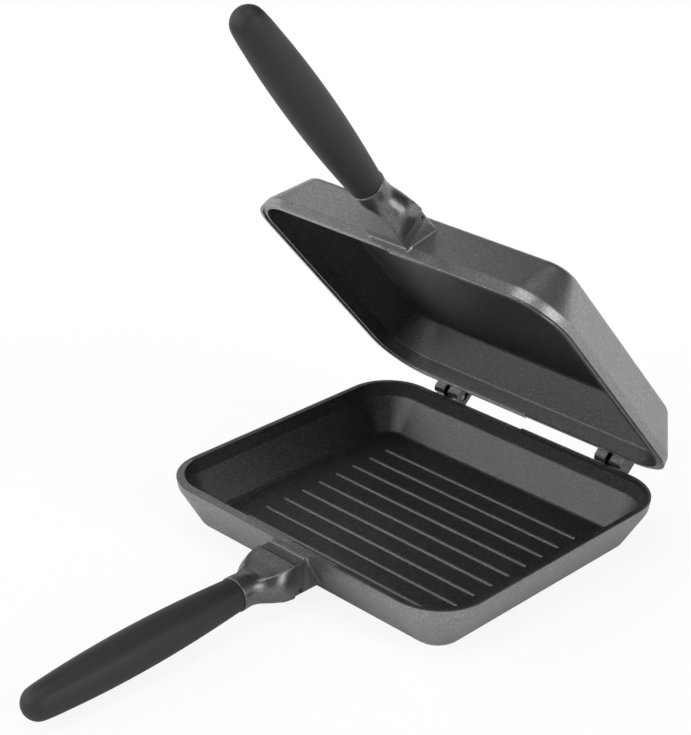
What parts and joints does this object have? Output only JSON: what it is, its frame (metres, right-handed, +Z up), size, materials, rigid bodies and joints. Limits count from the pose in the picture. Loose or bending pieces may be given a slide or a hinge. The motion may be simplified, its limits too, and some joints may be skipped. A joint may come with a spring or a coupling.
{
  "type": "double sided flip pan",
  "caption": "Rectangular cast flip pan: ribbed-floor pan and plain matching lid hinged along their rear rims, each with a round soft grip on a cast bracket.",
  "frame": {"origin": "centre of the flat underside of the lower pan's base", "axes": "+X along the hinge line, to the right seen from the handles; -Y towards the handles; +Z up from the base. Stored with the lid 48.8 degrees open."},
  "size_m": [0.27, 0.4727, 0.4035],
  "materials": {
    "coated_casting": "cast aluminium, speckled grey paint outside and black non-stick coating inside",
    "bracket_paint": "cast aluminium with speckled grey paint",
    "soft_touch": "matt black soft-touch",
    "grip_plastic": "moulded",
    "hinge_steel": "dark plated",
    "spring_steel": "oiled black",
    "zinc_steel": "zinc plated",
    "brass": "turned"
  },
  "bodies": {
    "pan": {"lower_shell": "coated_casting", "left_hinge_pin": "hinge_steel", "right_hinge_pin": "hinge_steel", "lower_handle_bracket": "bracket_paint", "lower_bracket_roll_pin": "spring_steel", "lower_grip_core": "grip_plastic", "lower_grip_sleeve": "soft_touch", "lower_grip_insert": "brass", "lower_handle_bolt": "zinc_steel", "lower_bolt_washer": "zinc_steel", "lower_bolt_lock_washer": "spring_steel"},
    "lid": {"upper_shell": "coated_casting", "upper_handle_bracket": "bracket_paint", "upper_bracket_roll_pin": "spring_steel", "upper_grip_core": "grip_plastic", "upper_grip_sleeve": "soft_touch", "upper_grip_insert": "brass", "upper_handle_bolt": "zinc_steel", "upper_bolt_washer": "zinc_steel", "upper_bolt_lock_washer": "spring_steel"}
  },
  "joints": [
    {"name": "lid_hinge", "type": "hinge", "parent": "pan", "child": "lid", "pos_m": [0, 0.128, 0.0358], "axis": [-1, 0, 0], "range_deg": [-48.8, 51.2]}
  ]
}
